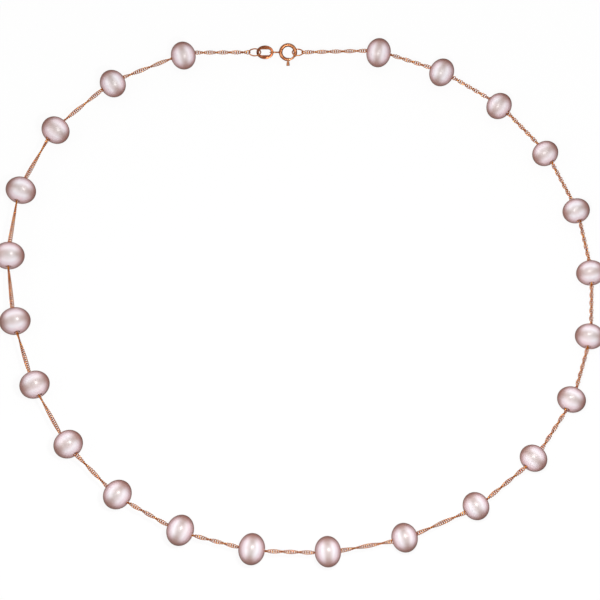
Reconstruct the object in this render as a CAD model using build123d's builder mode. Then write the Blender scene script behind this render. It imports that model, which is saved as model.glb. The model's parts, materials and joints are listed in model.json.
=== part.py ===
from build123d import *
import math
import os

# Pearl station necklace, clasped and lying on a table. Millimetres, +Z up.
# The origin is the middle of the loop on the table; the clasp is towards +Y.

# ---- the loop ----
STATIONS = 23                 # pearls, counted from the tag side of the clasp
FRONT_STATION = 12            # the pearl opposite the clasp
LOOP_RADIUS = 73.4
FRONT_ANGLE = -84.8           # degrees, where the front pearl lies
STATION_STEP = 14.51          # degrees between neighbouring stations
# The laid-down loop isn't quite round. It has an oval, a three-sided and a four-sided
# bulge: the number of crests, their height as a share of the radius, and where one
# crest stands in degrees.
LOOP_BULGES = ((2, 0.020, -38), (3, 0.016, 24), (4, 0.013, -39))
# The pearls spread and crowd round it a little too: the number of crests, the
# shift in degrees, and where one crest stands in degrees.
STATION_SHIFTS = ((1, 1.2, -67), (2, 0.6, 2), (4, 0.35, -40))

# ---- pearls ----
PEARL_DIAMETER = 7.45         # mean across the drill hole
PEARL_GRADE = 0.33            # larger pearls on the tag's side
LARGEST_STATION = 6.8
PEARL_SCATTER = 0.26          # natural size scatter, across the hole only
SCATTER_STEP = 1.03           # radians of scatter from one pearl to the next
SCATTER_START = 2.77
BUTTON_RATIO = 0.855          # length along the hole over the diameter before scatter
HOLE_RADIUS = 0.65
FLARE = 0.10                  # bevel at each mouth of the hole
CEMENT_RADIUS = 0.64          # cement core round the hidden run of chain
CEMENT_RECESS = 0.85          # how far the core stops short of each mouth

# ---- chain ----
LINK_PITCH = 0.54
LINK_HALF_LENGTH = 0.385      # to the wire's centre line
LINK_HALF_WIDTH = 0.46
LINK_WIRE_RADIUS = 0.10
LINK_TWIST = 70.0             # degrees between a link's two ends
END_LINK_HALF_LENGTH = 0.50
END_LINK_HALF_WIDTH = 0.50
END_LINK_WIRE_RADIUS = 0.11
LINK_PLAY = 0.03              # clearance between wires that bear on each other
# Half turns of the ribbon in each stretch, from the tag round to the catch ring.
HALF_TURNS = (4, 2.5, 2, 1, 0.5, 0.5, 1, 1, 2, 3, 3, 3, 2, 2, 3, 4, 5.5, 5.5, 6, 6, 5, 5, 4, 4.5)
RIBBON_ROLL = 35.0            # how far the ribbon leans at the middle of a stretch

# ---- clasp, laid out along its own X with its face along its own Z ----
CLASP_ORIGIN = (-2.93, 69.5, 2.1)   # centre of the spring ring
CLASP_LEAN = 29.0                   # the face leans forward by this much
RING_RADIUS = 1.90            # centre line of the tube
TUBE_RADIUS = 0.47
BORE_RADIUS = 0.30
TUBE_START = -30.0            # degrees, socket end of the tube
TUBE_END = 285.0              # mouth that the tongue slides out of
SOCKET_DEPTH = 14.0           # degrees of bore that take the tongue's tip
CHAMBER_START = 8.0           # degrees, where the spring chamber starts
TONGUE_RADIUS = 0.26
TONGUE_TIP = -20.0            # degrees, end of the tongue in its socket
TONGUE_TAIL = -112.0          # degrees
KNOB_STEM_RADIUS = 0.20
KNOB_NECK_RADIUS = 0.33
KNOB_TIP_RADIUS = 0.43
KNOB_FOOT = 2.45              # distance from the ring's centre
KNOB_TIP = 3.50
KNOB_ROUNDING = 0.15          # at the knob's free end
SLOT_DEPTH = 0.57             # outwards from the tube's centre line
SLOT_HALF_WIDTH = 0.24
SLOT_END = 217.0              # degrees, where the knob's slot stops
SPRING_RADIUS = 0.205         # centre line of the coil
SPRING_WIRE_RADIUS = 0.045
SPRING_TURNS = 18
SPRING_START = 14.0           # degrees
SPRING_STOP = 240.5           # degrees
SPRING_POINTS = 8             # per turn of the coil
SPRING_WIRE_SIDES = 12

# ---- tag and rings, positions along the clasp's X ----
EYELET_WIRE_RADIUS = 0.16
EYELET_RADIUS = 1.09
EYELET_X = -3.54
SOLDER_RADIUS = 0.256         # fillet of solder between the eyelet and the tube
SOLDER_LENGTH = 0.24
EYELET_CUT_START = 150.0      # degrees, stretch of tube the eyelet is fitted to
EYELET_CUT_ARC = 60.0
TAG_X = -5.965
TAG_LENGTH = 4.45
TAG_WIDTH = 3.55
TAG_THICKNESS = 0.36
TAG_SLOT_LENGTH = 3.05
TAG_SLOT_WIDTH = 1.50
TAG_BEVEL = 0.10
PANEL_HEIGHT = 0.05           # raised panels above and below the slot
PANEL_END_MARGIN = 0.70
PANEL_SIDE_MARGIN = 0.34
TAG_RING_X = -8.60
TAG_RING_RADIUS = 1.52
TAG_RING_WIRE_RADIUS = 0.165
CATCH_RING_X = 2.49
CATCH_RING_RADIUS = 1.38
CATCH_RING_WIRE_RADIUS = 0.16
RING_LEAN = -51.0             # both jump rings lean this far from the clasp's face

CLASP_PLANE = Plane(
    origin=CLASP_ORIGIN,
    x_dir=(1, 0, 0),
    z_dir=(0, -math.sin(math.radians(CLASP_LEAN)), math.cos(math.radians(CLASP_LEAN))),
)


# ---------------------------------------------------------------- stations
def graded_diameter(number):
    """Diameter one pearl would have without the natural scatter."""
    grade = math.cos(2 * math.pi * (number - LARGEST_STATION) / STATIONS)
    return PEARL_DIAMETER + PEARL_GRADE * grade


def station_diameter(number):
    """Diameter of one pearl across its drill hole."""
    scatter = math.sin(SCATTER_STEP * number + SCATTER_START)
    return graded_diameter(number) + PEARL_SCATTER * scatter


def half_length_along_hole(number):
    """Half the length one pearl's spheroid has along its drill hole."""
    return BUTTON_RATIO * graded_diameter(number) / 2


def waviness(waves, angle):
    """Sum at an angle, in degrees, of waves given as (crests, height, where one crest stands)."""
    total = 0
    for crests, height, crest in waves:
        total += height * math.cos(math.radians(crests * (angle - crest)))
    return total


def station_centre(number):
    """Middle of one pearl, resting on the table."""
    even = FRONT_ANGLE + STATION_STEP * (number - FRONT_STATION)
    angle = even + waviness(STATION_SHIFTS, even)
    radius = LOOP_RADIUS * (1 + waviness(LOOP_BULGES, angle))
    turn = math.radians(angle)
    return Vector(radius * math.cos(turn), radius * math.sin(turn), station_diameter(number) / 2)


def clasp_point(x):
    """A point on the clasp's own X axis, in the necklace's frame."""
    return CLASP_PLANE.from_local_coords(Vector(x, 0, 0))


def drill_direction(number):
    """Level unit vector along one pearl's drill hole, towards the next station."""
    before = station_centre(number - 1) if number > 1 else tag_end_point()
    after = station_centre(number + 1) if number < STATIONS else catch_end_point()
    along = after - before
    return Vector(along.X, along.Y, 0).normalized()


def mouth_reach(number):
    """Distance from a pearl's middle to the mouth of its drill hole."""
    radius = station_diameter(number) / 2
    return half_length_along_hole(number) * math.sqrt(1 - (HOLE_RADIUS / radius) ** 2)


def mouth(number, side):
    """Middle of a drill hole's mouth; side is -1 for the earlier end and 1 for the later."""
    return station_centre(number) + drill_direction(number) * (side * mouth_reach(number))


def end_link_offset(wire_radius):
    """From a jump ring's wire to the middle of the end link that hangs on it."""
    return END_LINK_HALF_LENGTH - END_LINK_WIRE_RADIUS - wire_radius - LINK_PLAY


def tag_end_point():
    """Middle of the end link on the tag's jump ring."""
    wire = TAG_RING_X - TAG_RING_RADIUS
    return clasp_point(wire - end_link_offset(TAG_RING_WIRE_RADIUS))


def catch_end_point():
    """Middle of the end link on the catch ring."""
    wire = CATCH_RING_X + CATCH_RING_RADIUS
    return clasp_point(wire + end_link_offset(CATCH_RING_WIRE_RADIUS))


# ------------------------------------------------------------------- links
def arc_between(start, tangent, end):
    """Axis, and sweep in degrees, of the arc that leaves start along tangent and meets end."""
    chord = end - start
    normal = tangent.cross(chord).normalized()
    inward = normal.cross(tangent).normalized()
    radius = chord.dot(chord) / (2 * chord.dot(inward))
    sweep_angle = 2 * math.degrees(math.asin(chord.length / (2 * radius)))
    return Axis(start + inward * radius, normal), sweep_angle


def build_link(half_length, half_width, wire_radius):
    """A closed curb link: a round wire loop whose ends are twisted against each other."""
    half_twist = math.radians(LINK_TWIST / 2)
    end_point = Vector(half_length, 0, 0)
    end_tangent = Vector(0, math.cos(half_twist), math.sin(half_twist))
    side_point = Vector(0, half_width, 0)
    side_tangent = Vector(-half_length, 0, -half_width * half_twist).normalized()
    # Two arcs join the points with one common tangent; handle is the length of
    # both end tangents' handles in that construction.
    gap = side_point - end_point
    both = end_tangent + side_tangent
    a = both.dot(both) - 4
    b = -2 * gap.dot(both)
    handle = (-b - math.sqrt(b * b - 4 * a * gap.dot(gap))) / (2 * a)
    first_corner = end_point + end_tangent * handle
    second_corner = side_point - side_tangent * handle
    joint = (first_corner + second_corner) * 0.5
    joint_tangent = (second_corner - first_corner).normalized()
    with BuildPart() as quarter:
        for start, tangent, end in (
            (end_point, end_tangent, joint),
            (joint, joint_tangent, side_point),
        ):
            axis, sweep_angle = arc_between(start, tangent, end)
            with BuildSketch(Plane(origin=start, x_dir=axis.direction, z_dir=tangent)):
                Circle(wire_radius)
            revolve(axis=axis, revolution_arc=sweep_angle)
    with BuildPart() as link:
        add(quarter.part)
        add(quarter.part, rotation=(180, 0, 0))
        add(quarter.part, rotation=(0, 180, 0))
        add(quarter.part, rotation=(0, 0, 180))
    return link.part


def stretch_places(start, end, first_roll, roll_step, count):
    """Locations of the links of a straight stretch, each turned a little from the last."""
    along = (end - start).normalized()
    level = Vector(0, 0, 1).cross(along).normalized()
    upward = along.cross(level)
    places = []
    for index in range(count):
        centre = start + (end - start) * (index / (count - 1))
        roll = first_roll + roll_step * index
        places.append(Location(Plane(origin=centre, x_dir=along, z_dir=upward)) * Rotation(roll, 0, 0))
    return places


def link_count(start, end):
    """How many links at the nominal pitch span the two link middles."""
    return round((end - start).length / LINK_PITCH) + 1


os.makedirs("parts", exist_ok=True)

standard_link = build_link(LINK_HALF_LENGTH, LINK_HALF_WIDTH, LINK_WIRE_RADIUS)
end_link = build_link(END_LINK_HALF_LENGTH, END_LINK_HALF_WIDTH, END_LINK_WIRE_RADIUS)

# ------------------------------------------------- chain between the pearls
for number in range(2, STATIONS + 1):
    start = mouth(number - 1, 1)
    end = mouth(number, -1)
    count = link_count(start, end)
    roll_step = -180.0 * HALF_TURNS[number - 1] / (count - 1)
    first_roll = RIBBON_ROLL - roll_step * (count - 1) / 2
    with BuildPart() as chain:
        with Locations(*stretch_places(start, end, first_roll, roll_step, count)):
            add(standard_link)
    chain.part.label = f"chain_{number:02d}"
    export_step(chain.part, f"parts/chain_{number:02d}.step")

# --------------------------------------- the two stretches next to the clasp
# The end link stands across the jump ring's wire; the next link bears on its far end.
ring_wire_tilt = CLASP_LEAN + RING_LEAN + 90
for number, hook, pearl_mouth, towards in (
    (1, tag_end_point(), mouth(1, -1), -1),
    (STATIONS + 1, catch_end_point(), mouth(STATIONS, 1), 1),
):
    wire_radius = TAG_RING_WIRE_RADIUS if towards < 0 else CATCH_RING_WIRE_RADIUS
    wire_offset = end_link_offset(wire_radius)
    hook_roll = ring_wire_tilt if towards > 0 else 180 - ring_wire_tilt
    hook_roll += LINK_TWIST * wire_offset / (2 * END_LINK_HALF_LENGTH)
    along = (pearl_mouth - hook).normalized()
    reach = END_LINK_HALF_LENGTH - END_LINK_WIRE_RADIUS - LINK_WIRE_RADIUS - LINK_PLAY
    start = hook + along * (reach + LINK_HALF_LENGTH)
    count = link_count(start, pearl_mouth)
    roll_step = -180.0 * HALF_TURNS[number - 1] / count
    with BuildPart() as chain:
        with Locations(*stretch_places(hook, pearl_mouth, hook_roll, 0, 2)[:1]):
            add(end_link)
        with Locations(*stretch_places(start, pearl_mouth, hook_roll + roll_step, roll_step, count)):
            add(standard_link)
    chain.part.label = f"chain_{number:02d}"
    export_step(chain.part, f"parts/chain_{number:02d}.step")

# ------------------------------------------------------------------- pearls
for number in range(1, STATIONS + 1):
    radius = station_diameter(number) / 2
    half_length = half_length_along_hole(number)
    core_length = 2 * (half_length - CEMENT_RECESS)
    seat = Plane(origin=station_centre(number), x_dir=drill_direction(number), z_dir=(0, 0, 1))
    with BuildPart() as bead:
        with BuildSketch(Plane.XY):
            Ellipse(half_length, radius)
            with Locations((0, -radius / 2)):
                Rectangle(2 * half_length, radius, mode=Mode.SUBTRACT)
        revolve(axis=Axis.X)
        Cylinder(HOLE_RADIUS, 2 * half_length, rotation=(0, 90, 0), mode=Mode.SUBTRACT)
        for side in (-1, 1):
            with Locations(Location((side * mouth_reach(number), 0, 0), (0, 90 * side, 0))):
                Cone(HOLE_RADIUS, HOLE_RADIUS + 2 * FLARE, 2 * FLARE, mode=Mode.SUBTRACT)
        Cylinder(CEMENT_RADIUS, core_length, rotation=(0, 90, 0))
    with BuildPart() as pearl:
        with Locations(Location(seat)):
            add(bead.part)
    pearl.part.label = f"pearl_{number:02d}"
    export_step(pearl.part, f"parts/pearl_{number:02d}.step")


# -------------------------------------------------------- clasp, local frame
def ring_point(angle, radius=RING_RADIUS):
    """A point on the spring ring at an angle in degrees, in the clasp's frame."""
    turn = math.radians(angle)
    return Vector(radius * math.cos(turn), radius * math.sin(turn), 0)


def ring_section(angle):
    """The plane across the tube at an angle; the sweep leaves it along +Z."""
    turn = math.radians(angle)
    return Plane(
        origin=ring_point(angle),
        x_dir=(math.cos(turn), math.sin(turn), 0),
        z_dir=(-math.sin(turn), math.cos(turn), 0),
    )


# Tube of the spring ring: a spring chamber, a blind socket for the tongue's tip,
# and a slot on the outside for the knob.
with BuildPart() as clasp_case_local:
    with BuildSketch(ring_section(TUBE_START)):
        Circle(TUBE_RADIUS)
    revolve(axis=Axis.Z, revolution_arc=TUBE_END - TUBE_START)
    with BuildSketch(ring_section(CHAMBER_START)):
        Circle(BORE_RADIUS)
    revolve(axis=Axis.Z, revolution_arc=TUBE_END - CHAMBER_START, mode=Mode.SUBTRACT)
    with BuildSketch(ring_section(TUBE_START)):
        Circle(BORE_RADIUS)
    revolve(axis=Axis.Z, revolution_arc=SOCKET_DEPTH, mode=Mode.SUBTRACT)
    with BuildSketch(ring_section(SLOT_END)):
        with Locations((SLOT_DEPTH / 2, 0)):
            Rectangle(SLOT_DEPTH, 2 * SLOT_HALF_WIDTH)
    revolve(axis=Axis.Z, revolution_arc=TUBE_END - SLOT_END, mode=Mode.SUBTRACT)

# Thumb knob and its stem, drawn upright and laid out along the clasp's -Y.
with BuildPart() as knob:
    with BuildSketch(Plane.XZ):
        with BuildLine():
            Polyline(
                (0, RING_RADIUS),
                (KNOB_STEM_RADIUS, RING_RADIUS),
                (KNOB_STEM_RADIUS, KNOB_FOOT),
                (KNOB_NECK_RADIUS, KNOB_FOOT),
                (KNOB_TIP_RADIUS, KNOB_TIP - KNOB_ROUNDING),
            )
            RadiusArc(
                (KNOB_TIP_RADIUS, KNOB_TIP - KNOB_ROUNDING),
                (KNOB_TIP_RADIUS - KNOB_ROUNDING, KNOB_TIP),
                -KNOB_ROUNDING,
            )
            Polyline(
                (KNOB_TIP_RADIUS - KNOB_ROUNDING, KNOB_TIP),
                (0, KNOB_TIP),
                (0, RING_RADIUS),
            )
        make_face()
    revolve(axis=Axis.Z)

# Trigger: a curved tongue that bridges the gap, with the knob standing on it.
with BuildPart() as clasp_trigger_local:
    with BuildSketch(ring_section(TONGUE_TAIL)):
        Circle(TONGUE_RADIUS)
    revolve(axis=Axis.Z, revolution_arc=TONGUE_TIP - TONGUE_TAIL)
    add(knob.part, rotation=(90, 0, 0))

# Coil spring that pushes the tongue shut, lying round the ring inside the tube.
coil_points = []
for index in range(SPRING_TURNS * SPRING_POINTS + 1):
    share = index / (SPRING_TURNS * SPRING_POINTS)
    around = math.radians(SPRING_START + (SPRING_STOP - SPRING_START) * share)
    coil = 2 * math.pi * index / SPRING_POINTS
    radius = RING_RADIUS + SPRING_RADIUS * math.cos(coil)
    height = SPRING_RADIUS * math.sin(coil)
    coil_points.append((radius * math.cos(around), radius * math.sin(around), height))
with BuildPart() as clasp_spring_local:
    with BuildLine() as coil_path:
        Spline(*coil_points)
    with BuildSketch(Plane(origin=coil_path.line @ 0, z_dir=coil_path.line % 0)):
        RegularPolygon(SPRING_WIRE_RADIUS, SPRING_WIRE_SIDES)
    sweep()

# Eyelet soldered edge-on to the outside of the tube, opposite the catch ring.
with BuildPart() as clasp_eyelet_local:
    with Locations(Location((EYELET_X, 0, 0), (90, 0, 0))):
        Torus(EYELET_RADIUS, EYELET_WIRE_RADIUS)
    with Locations(Location((-RING_RADIUS - TUBE_RADIUS, 0, 0), (0, 90, 0))):
        Cylinder(SOLDER_RADIUS, SOLDER_LENGTH)
    with BuildSketch(ring_section(EYELET_CUT_START)):
        Circle(TUBE_RADIUS)
    revolve(axis=Axis.Z, revolution_arc=EYELET_CUT_ARC, mode=Mode.SUBTRACT)

# Flat oval tag with a long slot and a raised panel on each side of it.
with BuildPart() as end_tag_local:
    with BuildSketch(Plane.XY.offset(-TAG_THICKNESS / 2)):
        with Locations((TAG_X, 0)):
            Ellipse(TAG_LENGTH / 2, TAG_WIDTH / 2)
    extrude(amount=TAG_THICKNESS)
    chamfer(end_tag_local.edges().filter_by(GeomType.ELLIPSE), TAG_BEVEL)
    with BuildSketch(Plane.XY.offset(-TAG_THICKNESS / 2 - PANEL_HEIGHT)):
        with Locations((TAG_X, 0)):
            Ellipse(TAG_LENGTH / 2 - PANEL_END_MARGIN, TAG_WIDTH / 2 - PANEL_SIDE_MARGIN)
    extrude(amount=TAG_THICKNESS + 2 * PANEL_HEIGHT)
    with BuildSketch(Plane.XY.offset(-TAG_THICKNESS)):
        with Locations((TAG_X, 0)):
            SlotOverall(TAG_SLOT_LENGTH, TAG_SLOT_WIDTH)
    extrude(amount=2 * TAG_THICKNESS, mode=Mode.SUBTRACT)

with BuildPart() as tag_jump_ring_local:
    with Locations(Location((TAG_RING_X, 0, 0), (RING_LEAN, 0, 0))):
        Torus(TAG_RING_RADIUS, TAG_RING_WIRE_RADIUS)

with BuildPart() as catch_ring_local:
    with Locations(Location((CATCH_RING_X, 0, 0), (RING_LEAN, 0, 0))):
        Torus(CATCH_RING_RADIUS, CATCH_RING_WIRE_RADIUS)

# ------------------------------------------- clasp pieces put on the necklace
for name, local in (
    ("clasp_case", clasp_case_local),
    ("clasp_trigger", clasp_trigger_local),
    ("clasp_spring", clasp_spring_local),
    ("clasp_eyelet", clasp_eyelet_local),
    ("end_tag", end_tag_local),
    ("tag_jump_ring", tag_jump_ring_local),
    ("catch_ring", catch_ring_local),
):
    with BuildPart() as placed:
        with Locations(Location(CLASP_PLANE)):
            add(local.part)
    placed.part.label = name
    export_step(placed.part, f"parts/{name}.step")
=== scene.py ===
import json
import math

import bmesh
import bpy
from mathutils import Matrix, Vector, noise


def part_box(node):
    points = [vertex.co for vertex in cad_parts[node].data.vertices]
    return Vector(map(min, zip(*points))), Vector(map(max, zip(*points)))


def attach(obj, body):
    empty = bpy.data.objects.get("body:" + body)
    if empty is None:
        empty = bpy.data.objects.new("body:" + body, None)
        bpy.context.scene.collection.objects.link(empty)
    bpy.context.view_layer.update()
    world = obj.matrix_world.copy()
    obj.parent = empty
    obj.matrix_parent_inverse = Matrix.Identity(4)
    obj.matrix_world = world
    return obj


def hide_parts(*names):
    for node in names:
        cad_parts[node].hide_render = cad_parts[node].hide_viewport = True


# Pearl station necklace: nacre, rose gold chain and spring ring clasp on a pale table.
# Metres throughout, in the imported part's own frame. MM turns millimetres into metres.
MM = 0.001

STATIONS = 23
FRONT_STATION = 12

# pearl shape
HOLE_RADIUS = 0.65 * MM
LIP_RADIUS = 0.14 * MM        # rounding at each mouth of the hole
HOLE_DEPTH = 0.58 * MM        # from a mouth down to the cement
PEARL_SEGMENTS = 96
HALF_RINGS = 28               # from the equator to a mouth
LIP_RINGS = 6
BEAD_BAND = (0.4, 0.9)        # share of the radius where the CAD bead's length is read off
UNEVENNESS = 0.05 * MM        # how far a natural pearl strays from true
LUMP_SPAN = 1.3               # width of one lump, in pearl radii
LUMP_SHIFT = 3.1              # noise offset that gives each pearl lumps of its own
LUMP_START = 1.4              # the lumps begin this many hole radii out
LUMP_FADE = 0.5               # and reach their full height over this share of the radius

# metal
FACET_SIZE = 0.28 * MM        # of the flats cut on the chain's wire
PAINTED_SHADE_DEPTH = 0.25 * MM      # how far the painted shade in the recesses reaches
WELD_DISTANCE = 0.0005 * MM
BEVEL_ANGLE = math.radians(40)   # edges sharper than this are rounded
EDGE_ANGLE = math.radians(20)    # edges sharper than this stay crisp

# camera: a long lens, 62 degrees above the table
CAMERA_TILT = math.radians(28.0)
CAMERA_DISTANCE = 1.0
CAMERA_WIDTH = 150 * MM       # what the frame shows at the necklace
CAMERA_TARGET = (0.17 * MM, -4.0 * MM, 3.7 * MM)
SENSOR = 36.0

# table and room
TABLE_RADIUS = 9.0
TABLE_GLOW = 0.91                         # brightness of the table to the eye before any light
TABLE_SHADOW = (0.09, 0.09, 0.09, 1.0)    # how much of the light and shadow shows on it
TABLE_DROP = 0.02 * MM                    # so that the pearls' feet don't cut it
TABLE_BOUNCE = (0.42, 0.38, 0.37, 1.0)    # what it throws back at the necklace
ROOM_LIGHT = 0.62
WHITE = (1.0, 1.0, 1.0, 1.0)


# ------------------------------------------------------------- node helpers
def new_material(name):
    """An empty node material and its node tree."""
    material = bpy.data.materials.new(name)
    material.use_nodes = True
    tree = material.node_tree
    tree.nodes.clear()
    return material, tree


def add_node(tree, kind, inputs=None, **settings):
    """A shader node with its settings, and its inputs given as values or as sockets."""
    node = tree.nodes.new(kind)
    for key, value in settings.items():
        setattr(node, key, value)
    for key, value in (inputs or {}).items():
        if isinstance(value, bpy.types.NodeSocket):
            tree.links.new(value, node.inputs[key])
        else:
            node.inputs[key].default_value = value
    return node


def srgb(red, green, blue):
    """Screen colour, 0 to 255 each, as linear RGBA."""
    def linear(value):
        value /= 255
        return value / 12.92 if value <= 0.04045 else ((value + 0.055) / 1.055) ** 2.4
    return (linear(red), linear(green), linear(blue), 1.0)


def ramp(tree, factor, stops, interpolation="EASE"):
    """A colour ramp through (position, colour) stops."""
    node = add_node(tree, "ShaderNodeValToRGB", {"Fac": factor})
    node.color_ramp.interpolation = interpolation
    elements = node.color_ramp.elements
    while len(elements) > 1:
        elements.remove(elements[-1])
    elements[0].position, elements[0].color = stops[0]
    for position, colour in stops[1:]:
        elements.new(position).color = colour
    return node.outputs["Color"]


def math_node(tree, operation, first, second=0.0, clamp=False, third=0.0):
    """One step of shader arithmetic on values or sockets."""
    node = add_node(tree, "ShaderNodeMath", {0: first, 1: second, 2: third}, operation=operation)
    node.use_clamp = clamp
    return node.outputs[0]


def scaled(tree, value, factor, start):
    """A value times a factor, on top of a start."""
    return math_node(tree, "ADD", math_node(tree, "MULTIPLY", value, factor), start)


def vector_node(tree, operation, first, second=None, scale=None):
    """One step of shader arithmetic on vectors."""
    inputs = {0: first}
    if second is not None:
        inputs[1] = second
    if scale is not None:
        inputs["Scale"] = scale
    node = add_node(tree, "ShaderNodeVectorMath", inputs, operation=operation)
    return node.outputs["Value" if operation == "DOT_PRODUCT" else "Vector"]


def smooth_step(tree, value, low, high):
    """0 below low, 1 above high, and an eased rise between."""
    node = add_node(
        tree, "ShaderNodeMapRange",
        {"Value": value, "From Min": low, "From Max": high},
        interpolation_type="SMOOTHSTEP",
    )
    return node.outputs["Result"]


def mix_colour(tree, factor, first, second, blend_type="MIX"):
    """Two colours mixed, each given as a value or as a socket."""
    node = add_node(tree, "ShaderNodeMix", data_type="RGBA", blend_type=blend_type)
    for key, value in ((0, factor), (6, first), (7, second)):
        if isinstance(value, bpy.types.NodeSocket):
            tree.links.new(value, node.inputs[key])
        else:
            node.inputs[key].default_value = value
    return node.outputs[2]


def object_noise(tree, scale, detail=3.0, roughness=0.5, offset=(0, 0, 0)):
    """Noise in object coordinates; scale is in features per metre."""
    place = add_node(tree, "ShaderNodeTexCoord").outputs["Object"]
    shifted = add_node(tree, "ShaderNodeMapping", {"Vector": place, "Location": offset})
    node = add_node(
        tree, "ShaderNodeTexNoise",
        {"Vector": shifted.outputs[0], "Scale": scale, "Detail": detail, "Roughness": roughness},
    )
    return node.outputs["Fac"]


def bump_normal(tree, height, strength, depth, normal=None):
    """Surface normals for a relief of the given depth in metres."""
    inputs = {"Height": height, "Strength": strength, "Distance": depth}
    if normal is not None:
        inputs["Normal"] = normal
    return add_node(tree, "ShaderNodeBump", inputs).outputs["Normal"]


def use_surface(tree, shader):
    """Make a shader the material's surface."""
    out = add_node(tree, "ShaderNodeOutputMaterial")
    tree.links.new(shader.outputs[0], out.inputs["Surface"])


def mix_shaders(tree, factor, first, second):
    """Two shaders mixed: the first where the factor is 0, the second where it is 1."""
    node = add_node(tree, "ShaderNodeMixShader", {0: factor})
    tree.links.new(first.outputs[0], node.inputs[1])
    tree.links.new(second.outputs[0], node.inputs[2])
    return node


# ---------------------------------------------------------------- materials
def sheen_coordinates(tree, along):
    """Where a point lies on the pearl as it is looked at: along the hole, across it, from the middle.

    Nacre grows in layers round the drill hole's axis, so its sheen follows the eye like the
    light in satin; that sheen and the shade towards the edge are painted into the colour from
    these values. Each value runs from 0 at the middle of the visible disc to 1 at its edge.
    """
    look = add_node(tree, "ShaderNodeNewGeometry")
    axis = add_node(
        tree, "ShaderNodeVectorTransform", {"Vector": tuple(along)},
        vector_type="VECTOR", convert_from="OBJECT", convert_to="WORLD",
    ).outputs[0]
    towards = vector_node(tree, "DOT_PRODUCT", axis, look.outputs["Incoming"])
    depth = vector_node(tree, "SCALE", look.outputs["Incoming"], scale=towards)
    flat = vector_node(tree, "NORMALIZE", vector_node(tree, "SUBTRACT", axis, depth))
    lengthwise = math_node(
        tree, "ABSOLUTE", vector_node(tree, "DOT_PRODUCT", look.outputs["Normal"], flat)
    )
    facing = vector_node(tree, "DOT_PRODUCT", look.outputs["Normal"], look.outputs["Incoming"])
    edge_squared = math_node(tree, "SUBTRACT", 1.0, math_node(tree, "POWER", facing, 2.0), True)
    rest = math_node(tree, "SUBTRACT", edge_squared, math_node(tree, "POWER", lengthwise, 2.0), True)
    return lengthwise, math_node(tree, "SQRT", rest), math_node(tree, "SQRT", edge_squared)


def nacre_material(name, seed, along):
    """Pink and mauve nacre with painted sheen: a bright painted lobe towards each mouth of the hole, a greyer belt
    between, and painted shade towards the edge of the disc.
    """
    material, tree = new_material(name)
    lengthwise, crosswise, outward = sheen_coordinates(tree, along)
    drift = object_noise(tree, 260, 2.0, 0.5, (seed * 1.7, seed * 0.9, seed * 0.3))
    wobble = math_node(tree, "MULTIPLY", math_node(tree, "SUBTRACT", drift, 0.5), 0.22)
    rise = smooth_step(tree, math_node(tree, "ADD", lengthwise, wobble), 0.02, 0.50)
    fall = smooth_step(tree, math_node(tree, "ADD", crosswise, wobble), 0.30, 0.98)
    share = math_node(tree, "MULTIPLY", rise, math_node(tree, "SUBTRACT", 1.0, fall))
    # painted shade: the belt darkens to reddish brown towards the edge of the visible disc
    belt_painted_rim_shade = ramp(tree, outward, (
        (0.00, srgb(212, 200, 197)),
        (0.30, srgb(205, 190, 187)),
        (0.55, srgb(197, 174, 170)),
        (0.75, srgb(183, 148, 141)),
        (0.90, srgb(168, 120, 110)),
        (1.00, srgb(140, 86, 74)),
    ))
    # painted sheen: brightest partway out towards each mouth, following the eye, with painted shade at the edge
    painted_sheen_lobe = ramp(tree, outward, (
        (0.00, srgb(228, 217, 216)),
        (0.30, srgb(244, 234, 236)),
        (0.52, srgb(255, 248, 252)),
        (0.72, srgb(250, 232, 238)),
        (0.88, srgb(224, 190, 193)),
        (1.00, srgb(176, 120, 112)),
    ))
    # the painted sheen lobe laid over the belt and its painted rim shade
    colour = mix_colour(tree, share, belt_painted_rim_shade, painted_sheen_lobe)
    tint = mix_colour(tree, smooth_step(tree, drift, 0.3, 0.7), srgb(255, 244, 246), srgb(247, 251, 255))
    colour = mix_colour(tree, 0.5, colour, tint, "MULTIPLY")
    fine = object_noise(tree, 2600, 3.0, 0.6, (seed, seed, 0))
    rings = object_noise(tree, 700, 2.0, 0.4, (0, seed, seed))
    height = math_node(tree, "ADD", math_node(tree, "MULTIPLY", fine, 0.25), rings)
    shader = add_node(tree, "ShaderNodeBsdfPrincipled", {
        "Base Color": colour,
        "Roughness": scaled(tree, fine, 0.10, 0.33),
        "Specular IOR Level": 0.40,
        "Coat Weight": 1.0,
        "Coat Roughness": 0.33,
        "Coat IOR": 1.65,
        "Normal": bump_normal(tree, height, 0.10, 0.05 * MM),
    })
    use_surface(tree, shader)
    return material


def cut_facets(tree, size, strength):
    """Surface normals turned by a random amount in each small cell, as diamond cutting leaves them."""
    place = add_node(tree, "ShaderNodeTexCoord").outputs["Object"]
    cells = add_node(tree, "ShaderNodeTexVoronoi", {"Vector": place, "Scale": 1 / size})
    spread = vector_node(tree, "SUBTRACT", cells.outputs["Color"], (0.5, 0.5, 0.5))
    tilt = vector_node(tree, "SCALE", spread, scale=strength)
    normal = add_node(tree, "ShaderNodeNewGeometry").outputs["Normal"]
    return vector_node(tree, "NORMALIZE", vector_node(tree, "ADD", normal, tilt))


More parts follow.
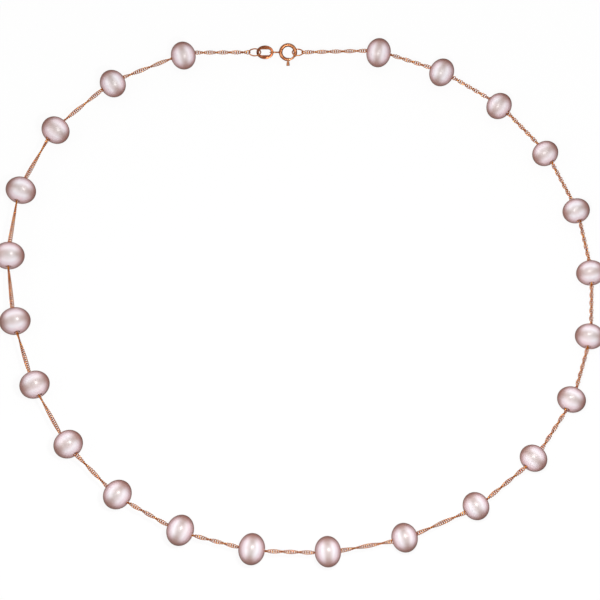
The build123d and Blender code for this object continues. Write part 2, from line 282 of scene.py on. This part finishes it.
def gold_material(name, metallic, roughness, grain, scale, facets, dark, light, painted_recess_shade):
    """Polished rose gold with faint drawing marks, and painted shade, darker and warmer, in the recesses.

    Grain is the strength of the marks, scale the patches of tone per metre, and facets how
    far the cut flats turn the surface.
    """
    material, tree = new_material(name)
    patches = object_noise(tree, scale, 3.0, 0.55)
    colour = mix_colour(tree, smooth_step(tree, patches, 0.3, 0.7), dark, light)
    # painted shade: ambient occlusion darkens and warms the colour in recesses and between parts
    painted_shade_occlusion = add_node(
        tree, "ShaderNodeAmbientOcclusion", {"Distance": PAINTED_SHADE_DEPTH}, samples=4, only_local=True
    ).outputs["AO"]
    colour = mix_colour(tree, smooth_step(tree, painted_shade_occlusion, 0.0, 0.7), painted_recess_shade, colour)
    marks = object_noise(tree, scale * 14, 4.0, 0.7)
    flats = cut_facets(tree, FACET_SIZE, facets) if facets else None
    shader = add_node(tree, "ShaderNodeBsdfPrincipled", {
        "Base Color": colour,
        "Metallic": metallic,
        "Roughness": scaled(tree, marks, 0.16, roughness),
        "Normal": bump_normal(tree, marks, grain, 0.01 * MM, flats),
    })
    use_surface(tree, shader)
    return material


def cement_material():
    """Clear-setting cement, slightly milky, seen only at the bottom of a drill hole."""
    material, tree = new_material("cement")
    cloud = object_noise(tree, 1800, 3.0, 0.6)
    colour = mix_colour(tree, cloud, srgb(222, 200, 196), srgb(244, 230, 228))
    shader = add_node(tree, "ShaderNodeBsdfPrincipled", {
        "Base Color": colour,
        "Roughness": 0.45,
        "Normal": bump_normal(tree, cloud, 0.3, 0.02 * MM),
    })
    use_surface(tree, shader)
    return material


def steel_material():
    """Drawn spring wire."""
    material, tree = new_material("spring_wire")
    marks = object_noise(tree, 9000, 3.0, 0.6)
    colour = mix_colour(tree, marks, srgb(150, 150, 155), srgb(196, 196, 200))
    shader = add_node(tree, "ShaderNodeBsdfPrincipled", {
        "Base Color": colour,
        "Metallic": 1.0,
        "Roughness": scaled(tree, marks, 0.2, 0.25),
        "Normal": bump_normal(tree, marks, 0.2, 0.005 * MM),
    })
    use_surface(tree, shader)
    return material


# ------------------------------------------------------------------- pearls
def pearl_name(number):
    """The CAD node of one pearl."""
    return f"pearl_{number:02d}"


def box_centre(node):
    """Middle of a CAD node's box."""
    low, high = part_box(node)
    return (low + high) / 2


def drill_direction(number, pivots):
    """Level unit vector along a pearl's drill hole, towards the next station."""
    centre = box_centre(pearl_name(number))
    if number == FRONT_STATION:
        along = box_centre(pearl_name(number + 1)) - box_centre(pearl_name(number - 1))
    elif number < FRONT_STATION:
        along = pivots[number] - centre
    else:
        along = centre - pivots[number]
    along.z = 0
    return along.normalized()


def spheroid_half_length(node, centre, along, radius):
    """Half length of a pearl's spheroid along its hole, read off the CAD bead's own surface."""
    found = []
    for vertex in frame["nodes"][node].data.vertices:
        arm = vertex.co - centre
        reach = abs(arm.dot(along))
        out = (arm - along * arm.dot(along)).length / radius
        if BEAD_BAND[0] < out < BEAD_BAND[1]:
            found.append(reach / math.sqrt(1 - out * out))
    return sorted(found)[len(found) // 2]


def pearl_profile(radius, half_length):
    """Half of a pearl's outline from its equator to the bottom of the drill hole, as (along, out)."""
    points = []
    mouth = half_length * math.sqrt(1 - ((HOLE_RADIUS + LIP_RADIUS) / radius) ** 2)
    last = math.asin(mouth / half_length)
    for index in range(HALF_RINGS + 1):
        turn = last * index / HALF_RINGS
        points.append((half_length * math.sin(turn), radius * math.cos(turn)))
    for index in range(1, LIP_RINGS + 1):
        turn = math.pi / 2 * index / LIP_RINGS
        points.append((
            mouth - LIP_RADIUS + LIP_RADIUS * math.cos(turn),
            HOLE_RADIUS + LIP_RADIUS * (1 - math.sin(turn)),
        ))
    bottom = mouth - HOLE_DEPTH
    points.append(((mouth - LIP_RADIUS + bottom) / 2, HOLE_RADIUS))
    points.append((bottom, HOLE_RADIUS))
    return points


def uneven(point, out, radius, number):
    """A point of a pearl moved in or out by that pearl's own lumps, which fade towards the hole."""
    outside = max(0.0, min(1.0, (out - HOLE_RADIUS * LUMP_START) / (radius * LUMP_FADE)))
    lump = noise.noise(point / (radius * LUMP_SPAN) + Vector((number * LUMP_SHIFT, 0, 0)))
    return point + point.normalized() * (lump * UNEVENNESS * outside)


def pearl_mesh(name, outline, radius, number):
    """The outline turned round the pearl's own X, closed by a disc of cement at each end."""
    bm = bmesh.new()
    rows = []
    for x, out in outline:
        row = []
        for index in range(PEARL_SEGMENTS):
            turn = 2 * math.pi * index / PEARL_SEGMENTS
            point = Vector((x, out * math.cos(turn), out * math.sin(turn)))
            row.append(bm.verts.new(uneven(point, out, radius, number)))
        rows.append(row)
    for first, second in zip(rows, rows[1:]):
        for index in range(PEARL_SEGMENTS):
            after = (index + 1) % PEARL_SEGMENTS
            bm.faces.new((first[index], first[after], second[after], second[index]))
    for row in (list(reversed(rows[0])), rows[-1]):
        cap = bm.faces.new(row)
        cap.material_index = 1
    bmesh.ops.recalc_face_normals(bm, faces=bm.faces)
    mesh = bpy.data.meshes.new(name)
    bm.to_mesh(mesh)
    bm.free()
    mesh.polygons.foreach_set("use_smooth", [True] * len(mesh.polygons))
    return mesh


def build_pearl(number, pivots, cement):
    """One nacre bead: a slightly uneven button turned about its drill hole."""
    node = pearl_name(number)
    name = "nacre_" + node
    low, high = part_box(node)
    centre = (low + high) / 2
    radius = (high.z - low.z) / 2
    along = drill_direction(number, pivots)
    half = pearl_profile(radius, spheroid_half_length(node, centre, along, radius))
    outline = [(-x, out) for x, out in reversed(half[1:])] + half
    mesh = pearl_mesh(name, outline, radius, number)
    side = Vector((0, 0, 1)).cross(along)
    turn = Matrix((along, side, (0, 0, 1))).transposed().to_4x4()
    mesh.transform(Matrix.Translation(centre) @ turn)
    mesh.materials.append(nacre_material(name, number, along))
    mesh.materials.append(cement)
    piece = bpy.data.objects.new(name, mesh)
    bpy.context.scene.collection.objects.link(piece)
    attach(piece, node_body[node])
    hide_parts(node)


# -------------------------------------------------------------- metal parts
def finish_metal(node, material, bevel=0.0):
    """Keep a CAD node: join its facets, give it the metal and, with a bevel, round its edges."""
    piece = frame["nodes"][node]
    piece.data.materials.clear()
    piece.data.materials.append(material)
    piece.data.polygons.foreach_set("use_smooth", [True] * len(piece.data.polygons))
    weld = piece.modifiers.new("weld", "WELD")
    weld.merge_threshold = WELD_DISTANCE
    if bevel:
        edges = piece.modifiers.new("edges", "BEVEL")
        edges.width = bevel
        edges.segments = 2
        edges.limit_method = "ANGLE"
        edges.angle_limit = BEVEL_ANGLE
        flats = piece.modifiers.new("flats", "EDGE_SPLIT")
        flats.split_angle = EDGE_ANGLE


# -------------------------------------------------------------------- stage
def pearl_marker(name, place, body=None):
    """An unseen point at a pearl's middle, moving with its body."""
    marker = bpy.data.objects.new(name, None)
    marker.location = place
    bpy.context.scene.collection.objects.link(marker)
    if body:
        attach(marker, body)
    return marker


def keep_under_pearls(floor):
    """Lay the table under the resting pearls, and let it sink with the lowest of them in a pose."""
    centres = {number: box_centre(pearl_name(number)) for number in range(1, STATIONS + 1)}
    lowest = min(centres.values(), key=lambda centre: centre.z)
    markers = [pearl_marker("marker_rest", lowest)]
    for number, centre in centres.items():
        markers.append(pearl_marker(f"marker_{number:02d}", centre, node_body[pearl_name(number)]))
    height = floor.driver_add("location", 2).driver
    height.type = "MIN"
    for marker in markers:
        variable = height.variables.new()
        variable.type = "TRANSFORMS"
        variable.targets[0].id = marker
        variable.targets[0].transform_type = "LOC_Z"
        variable.targets[0].transform_space = "WORLD_SPACE"
    floor.delta_location.z = -lowest.z - TABLE_DROP


def build_floor():
    """A pale table top that runs out of sight, bright enough to carry only a breath of shadow."""
    mesh = bpy.data.meshes.new("table_top")
    bm = bmesh.new()
    bmesh.ops.create_circle(bm, cap_ends=True, segments=96, radius=TABLE_RADIUS)
    bm.to_mesh(mesh)
    bm.free()
    material, tree = new_material("table_top")
    seen = add_node(tree, "ShaderNodeLightPath").outputs["Is Camera Ray"]
    table = add_node(tree, "ShaderNodeBsdfDiffuse", {"Color": TABLE_BOUNCE})
    glow = add_node(tree, "ShaderNodeEmission", {"Color": WHITE, "Strength": TABLE_GLOW})
    wash = add_node(tree, "ShaderNodeBsdfDiffuse", {"Color": TABLE_SHADOW})
    pale = add_node(tree, "ShaderNodeAddShader")
    tree.links.new(glow.outputs[0], pale.inputs[0])
    tree.links.new(wash.outputs[0], pale.inputs[1])
    use_surface(tree, mix_shaders(tree, seen, table, pale))
    mesh.materials.append(material)
    floor = bpy.data.objects.new("table_top", mesh)
    floor.visible_glossy = False
    bpy.context.scene.collection.objects.link(floor)
    keep_under_pearls(floor)


def build_world():
    """White all round for the camera and soft light; a darker room for reflections to pick up."""
    world = bpy.data.worlds.new("studio")
    bpy.context.scene.world = world
    world.use_nodes = True
    tree = world.node_tree
    tree.nodes.clear()
    rays = add_node(tree, "ShaderNodeLightPath")
    direction = add_node(tree, "ShaderNodeTexCoord").outputs["Generated"]
    split = add_node(tree, "ShaderNodeSeparateXYZ", {0: direction})
    height = math_node(tree, "MULTIPLY_ADD", split.outputs["Z"], 0.5, third=0.5)
    room = ramp(tree, height, (
        (0.00, (0.34, 0.28, 0.25, 1)),
        (0.42, (0.16, 0.11, 0.09, 1)),
        (0.56, (0.12, 0.08, 0.06, 1)),
        (0.70, (0.50, 0.46, 0.45, 1)),
        (0.79, (1.20, 1.12, 1.08, 1)),
        (0.87, (0.34, 0.30, 0.28, 1)),
        (0.94, (0.20, 0.17, 0.16, 1)),
        (1.00, (0.70, 0.66, 0.64, 1)),
    ))
    lean = math_node(tree, "MULTIPLY_ADD", split.outputs["X"], -0.45, third=0.85)
    room = vector_node(tree, "SCALE", room, scale=lean)
    reflected = add_node(tree, "ShaderNodeBackground", {"Color": room, "Strength": 1.0})
    soft = add_node(tree, "ShaderNodeBackground", {"Color": WHITE, "Strength": ROOM_LIGHT})
    seen = add_node(tree, "ShaderNodeBackground", {"Color": WHITE, "Strength": 1.0})
    unseen = mix_shaders(tree, rays.outputs["Is Glossy Ray"], soft, reflected)
    everything = mix_shaders(tree, rays.outputs["Is Camera Ray"], unseen, seen)
    out = add_node(tree, "ShaderNodeOutputWorld")
    tree.links.new(everything.outputs[0], out.inputs["Surface"])


def add_light(name, azimuth, elevation, distance, size, power):
    """A round soft light aimed at the loop's middle; azimuth 0 stands in front of it."""
    data = bpy.data.lights.new(name, "AREA")
    data.shape = "DISK"
    data.size = size
    data.energy = power
    light = bpy.data.objects.new(name, data)
    turn = math.radians(azimuth)
    rise = math.radians(elevation)
    direction = Vector((
        math.sin(turn) * math.cos(rise), -math.cos(turn) * math.cos(rise), math.sin(rise)
    ))
    light.location = direction * distance
    light.rotation_mode = "QUATERNION"
    light.rotation_quaternion = direction.to_track_quat("Z", "Y")
    light.visible_camera = False
    bpy.context.scene.collection.objects.link(light)


def build_camera():
    """The camera, aimed at the loop from in front of it and above."""
    data = bpy.data.cameras.new("camera")
    data.sensor_width = SENSOR
    data.lens = SENSOR * CAMERA_DISTANCE / CAMERA_WIDTH
    data.clip_start = 0.05
    data.clip_end = 20.0
    camera = bpy.data.objects.new("camera", data)
    back = Vector((0, -math.sin(CAMERA_TILT), math.cos(CAMERA_TILT)))
    camera.location = Vector(CAMERA_TARGET) + back * CAMERA_DISTANCE
    camera.rotation_mode = "QUATERNION"
    camera.rotation_quaternion = back.to_track_quat("Z", "Y")
    bpy.context.scene.collection.objects.link(camera)
    bpy.context.scene.camera = camera


# --------------------------------------------------------------------- main
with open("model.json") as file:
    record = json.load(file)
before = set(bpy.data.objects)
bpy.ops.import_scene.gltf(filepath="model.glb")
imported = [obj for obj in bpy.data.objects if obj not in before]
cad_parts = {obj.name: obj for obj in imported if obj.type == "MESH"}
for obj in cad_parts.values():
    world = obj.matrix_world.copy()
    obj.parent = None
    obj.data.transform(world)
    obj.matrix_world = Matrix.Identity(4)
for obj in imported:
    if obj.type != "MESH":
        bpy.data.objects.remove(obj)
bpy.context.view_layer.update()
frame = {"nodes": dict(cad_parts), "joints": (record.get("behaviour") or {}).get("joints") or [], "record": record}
node_body = {
    node: body for body, nodes in frame["record"]["behaviour"]["bodies"].items() for node in nodes
}
pivots = {}
for joint in frame["joints"]:
    for node in frame["record"]["behaviour"]["bodies"][joint["child"]]:
        if node.startswith("pearl_"):
            pivots[int(node[-2:])] = Vector(joint["pos_m"])

cement = cement_material()
for number in range(1, STATIONS + 1):
    build_pearl(number, pivots, cement)

chain_gold = gold_material(
    "chain_gold", metallic=0.6, roughness=0.14, grain=0.25, scale=900, facets=0.6,
    dark=srgb(192, 92, 8), light=srgb(244, 154, 40), painted_recess_shade=srgb(92, 32, 0),
)
ring_gold = gold_material(
    "ring_gold", metallic=0.6, roughness=0.18, grain=0.25, scale=900, facets=0.0,
    dark=srgb(204, 118, 62), light=srgb(238, 164, 108), painted_recess_shade=srgb(120, 52, 20),
)
clasp_gold = gold_material(
    "clasp_gold", metallic=0.75, roughness=0.20, grain=0.35, scale=600, facets=0.0,
    dark=srgb(168, 94, 54), light=srgb(216, 150, 104), painted_recess_shade=srgb(78, 28, 8),
)
tag_gold = gold_material(
    "tag_gold", metallic=0.9, roughness=0.16, grain=0.35, scale=1400, facets=0.0,
    dark=srgb(112, 60, 36), light=srgb(170, 102, 66), painted_recess_shade=srgb(58, 20, 8),
)
steel = steel_material()
for number in range(1, STATIONS + 2):
    finish_metal(f"chain_{number:02d}", chain_gold)
for node, gold, bevel in (
    ("clasp_case", clasp_gold, 0.04 * MM),
    ("clasp_trigger", clasp_gold, 0.03 * MM),
    ("clasp_eyelet", ring_gold, 0.0),
    ("end_tag", tag_gold, 0.03 * MM),
    ("tag_jump_ring", ring_gold, 0.0),
    ("catch_ring", ring_gold, 0.0),
):
    finish_metal(node, gold, bevel)
finish_metal("clasp_spring", steel)

build_floor()
build_world()
add_light("key", azimuth=40, elevation=70, distance=1.0, size=0.28, power=1.1)
add_light("fill", azimuth=-60, elevation=40, distance=1.2, size=0.5, power=0.9)
add_light("lamp", azimuth=12, elevation=62, distance=0.24, size=0.03, power=0.21)
build_camera()
bpy.context.scene.view_settings.view_transform = "Standard"
